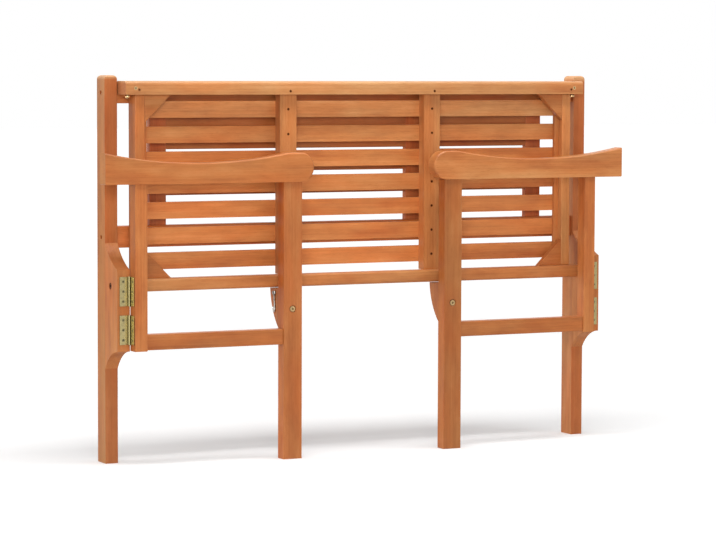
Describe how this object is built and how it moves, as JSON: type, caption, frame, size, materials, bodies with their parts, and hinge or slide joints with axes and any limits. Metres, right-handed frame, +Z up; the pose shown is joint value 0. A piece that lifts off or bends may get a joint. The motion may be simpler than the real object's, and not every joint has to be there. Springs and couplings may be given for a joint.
{
  "type": "folding garden bench",
  "caption": "Slatted hardwood garden bench that folds flat: arm frames swing on butt hinges, the seat turns on bolts in the brackets, gate hooks hang on the seat rests.",
  "frame": {"origin": "On the floor, in the middle of the folded bench: midway between the rear posts, and midway between the backs of the posts and the fronts of the armrests", "axes": "+X along the bench to the right as seen from the front, +Y to the back, +Z up"},
  "size_m": [1.279, 0.1498, 0.841],
  "materials": {
    "oiled_hardwood": "satin oiled hardwood",
    "brass": "polished brass",
    "plated_steel": "bright plated steel wire"
  },
  "bodies": {
    "back_frame": {"post_left": "oiled_hardwood", "post_right": "oiled_hardwood", "bracket_left": "oiled_hardwood", "bracket_right": "oiled_hardwood", "back_top_rail": "oiled_hardwood", "back_bottom_rail": "oiled_hardwood", "upright_1": "oiled_hardwood", "upright_2": "oiled_hardwood", "upright_3": "oiled_hardwood", "upright_4": "oiled_hardwood", "back_slat_1": "oiled_hardwood", "back_slat_2": "oiled_hardwood", "back_slat_3": "oiled_hardwood", "back_slat_4": "oiled_hardwood", "back_slat_5": "oiled_hardwood", "fixed_leaves_left": "brass", "fixed_leaves_right": "brass", "hinge_pins_left": "brass", "hinge_pins_right": "brass", "fixed_leaf_screws": "brass", "pivot_bolts": "brass"},
    "seat": {"side_rail_left": "oiled_hardwood", "side_rail_right": "oiled_hardwood", "front_rail": "oiled_hardwood", "rear_rail": "oiled_hardwood", "crossbar_left": "oiled_hardwood", "crossbar_right": "oiled_hardwood", "seat_slat_1": "oiled_hardwood", "seat_slat_2": "oiled_hardwood", "seat_slat_3": "oiled_hardwood", "seat_slat_4": "oiled_hardwood", "seat_slat_5": "oiled_hardwood", "seat_slat_6": "oiled_hardwood", "seat_slat_7": "oiled_hardwood", "front_gussets": "oiled_hardwood", "rear_gussets": "oiled_hardwood", "slat_ledges": "oiled_hardwood", "slat_screws": "brass", "end_screws": "brass", "catch_studs": "brass"},
    "left_arm": {"armrest_left": "oiled_hardwood", "stile_left": "oiled_hardwood", "lower_rail_left": "oiled_hardwood", "front_leg_left": "oiled_hardwood", "seat_rest_left": "oiled_hardwood", "rest_bolt_left": "brass", "moving_leaves_left": "brass", "moving_leaf_screws_left": "brass", "hook_screw_left": "plated_steel"},
    "right_arm": {"armrest_right": "oiled_hardwood", "stile_right": "oiled_hardwood", "lower_rail_right": "oiled_hardwood", "front_leg_right": "oiled_hardwood", "seat_rest_right": "oiled_hardwood", "rest_bolt_right": "brass", "moving_leaves_right": "brass", "moving_leaf_screws_right": "brass", "hook_screw_right": "plated_steel"},
    "left_hook": {"gate_hook_left": "plated_steel"},
    "right_hook": {"gate_hook_right": "plated_steel"}
  },
  "joints": [
    {"name": "left_arm_hinge", "type": "hinge", "parent": "back_frame", "child": "left_arm", "pos_m": [-0.5735, -0.04435, 0.3378], "axis": [0, 0, -1], "range_deg": [0, 90]},
    {"name": "right_arm_hinge", "type": "hinge", "parent": "back_frame", "child": "right_arm", "pos_m": [0.5735, -0.04435, 0.3378], "axis": [0, 0, 1], "range_deg": [0, 90]},
    {"name": "seat_pivot", "type": "hinge", "parent": "back_frame", "child": "seat", "pos_m": [0, -0.00065, 0.389], "axis": [1, 0, 0], "range_deg": [0, 7]},
    {"name": "left_hook_swing", "type": "hinge", "parent": "left_arm", "child": "left_hook", "pos_m": [-0.2231, -0.02485, 0.364], "axis": [-1, 0, 0], "range_deg": [0, 175]},
    {"name": "right_hook_swing", "type": "hinge", "parent": "right_arm", "child": "right_hook", "pos_m": [0.2231, -0.02485, 0.364], "axis": [-1, 0, 0], "range_deg": [0, 175]}
  ]
}
